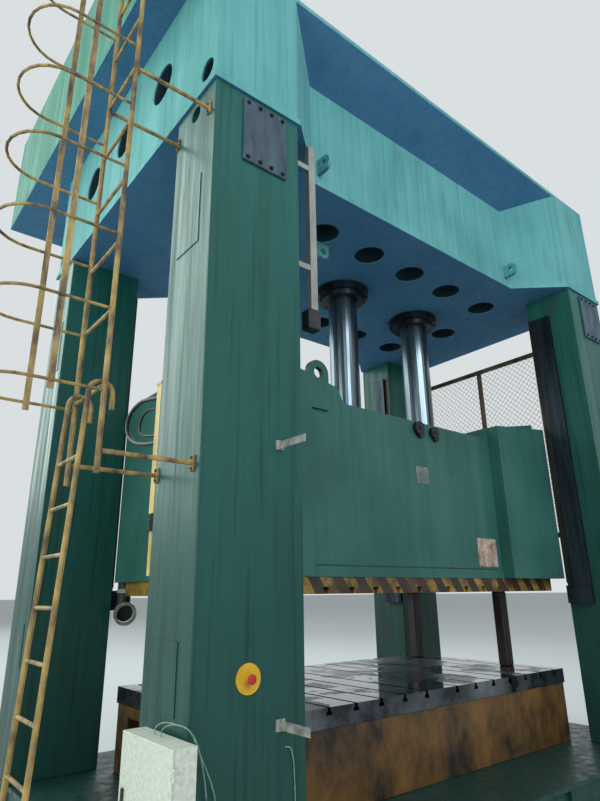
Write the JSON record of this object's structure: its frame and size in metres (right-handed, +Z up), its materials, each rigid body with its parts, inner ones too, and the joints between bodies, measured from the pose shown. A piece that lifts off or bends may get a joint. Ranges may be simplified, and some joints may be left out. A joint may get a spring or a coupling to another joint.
{
  "type": "hydraulic press",
  "caption": "Large column hydraulic press: T-slotted table, box slide on plunger cylinders, deck-top oil tank, caged side ladder with a hook-on lower ladder, wire side guard.",
  "frame": {"origin": "centre of the bed's underside", "axes": "+Z up, +X to the press's right as seen from its front, -Y towards the front"},
  "size_m": [7.54, 5.8, 8.9703],
  "materials": {
    "green_enamel": "oil-streaked green enamel",
    "light_green_enamel": "light green enamel with stains",
    "yellow_enamel": "worn yellow enamel",
    "machined_steel": "machined and oiled",
    "oiled_steel": "dark greasy steel",
    "hard_chrome": "ground and hard-chromed",
    "gib_bronze": "dull wear strip",
    "rusted_yellow_tube": "yellowed paint with rust",
    "pale_grey_enamel": "pale enamel with rust specks",
    "black_plastic": "satin",
    "red_plastic": "gloss"
  },
  "bodies": {
    "frame": {"bed": "green_enamel", "column_front_left": "green_enamel", "column_front_right": "green_enamel", "column_rear_left": "green_enamel", "column_rear_right": "green_enamel", "crown": "light_green_enamel", "deck": "green_enamel", "oil_tank": "light_green_enamel", "tank_lid": "green_enamel", "cylinder_left": "green_enamel", "cylinder_centre": "green_enamel", "cylinder_right": "green_enamel", "gland_left": "oiled_steel", "gland_centre": "oiled_steel", "gland_right": "oiled_steel", "table_plate": "machined_steel", "table_base": "yellow_enamel", "prop_front_left": "oiled_steel", "prop_front_right": "oiled_steel", "prop_rear_left": "oiled_steel", "prop_rear_right": "oiled_steel", "guide_rail_front_left": "oiled_steel", "guide_rail_front_right": "oiled_steel", "guide_rail_rear_left": "oiled_steel", "guide_rail_rear_right": "oiled_steel", "gib_strip_front_left": "gib_bronze", "gib_strip_front_right": "gib_bronze", "gib_strip_rear_left": "gib_bronze", "gib_strip_rear_right": "gib_bronze", "cover_plate_left": "oiled_steel", "cover_plate_right": "oiled_steel", "limit_rail": "pale_grey_enamel", "limit_switch": "black_plastic", "control_box": "pale_grey_enamel", "stop_plate": "yellow_enamel", "guard_frame": "oiled_steel", "guard_grille": "machined_steel", "ladder": "rusted_yellow_tube", "ladder_cage": "rusted_yellow_tube", "ladder_bracket_lower_front": "rusted_yellow_tube", "ladder_bracket_lower_rear": "rusted_yellow_tube", "ladder_bracket_upper_front": "rusted_yellow_tube", "ladder_bracket_upper_rear": "rusted_yellow_tube", "hook_ladder": "rusted_yellow_tube", "stub_bar_lower": "pale_grey_enamel", "stub_bar_upper": "pale_grey_enamel", "lifting_eye_left": "green_enamel", "lifting_eye_right": "green_enamel", "cable_duct": "yellow_enamel", "pump_motor": "green_enamel", "pump": "oiled_steel", "valve_block": "machined_steel"},
    "slide": {"slide": "green_enamel", "slide_plate": "yellow_enamel", "plunger_left": "hard_chrome", "plunger_centre": "hard_chrome", "plunger_right": "hard_chrome"},
    "box_door": {"box_door": "pale_grey_enamel"},
    "door_latch": {"door_latch": "black_plastic"},
    "stop_button": {"stop_button": "red_plastic"}
  },
  "joints": [
    {"name": "slide_stroke", "type": "slide", "parent": "frame", "child": "slide", "axis": [0, 0, 1], "range_m": [0, 1.2]},
    {"name": "box_door_hinge", "type": "hinge", "parent": "frame", "child": "box_door", "pos_m": [-3.2778, -2.109, 0.86], "axis": [0, 0, 1], "range_deg": [0, 110]},
    {"name": "latch_turn", "type": "hinge", "parent": "box_door", "child": "door_latch", "pos_m": [-3.2853, -1.545, 0.9], "axis": [-1, 0, 0], "range_deg": [0, 90]},
    {"name": "stop_press", "type": "slide", "parent": "frame", "child": "stop_button", "axis": [0, 1, 0], "range_m": [0, 0.006], "stiffness_N_per_m": 2000, "springref_m": -0.003}
  ]
}
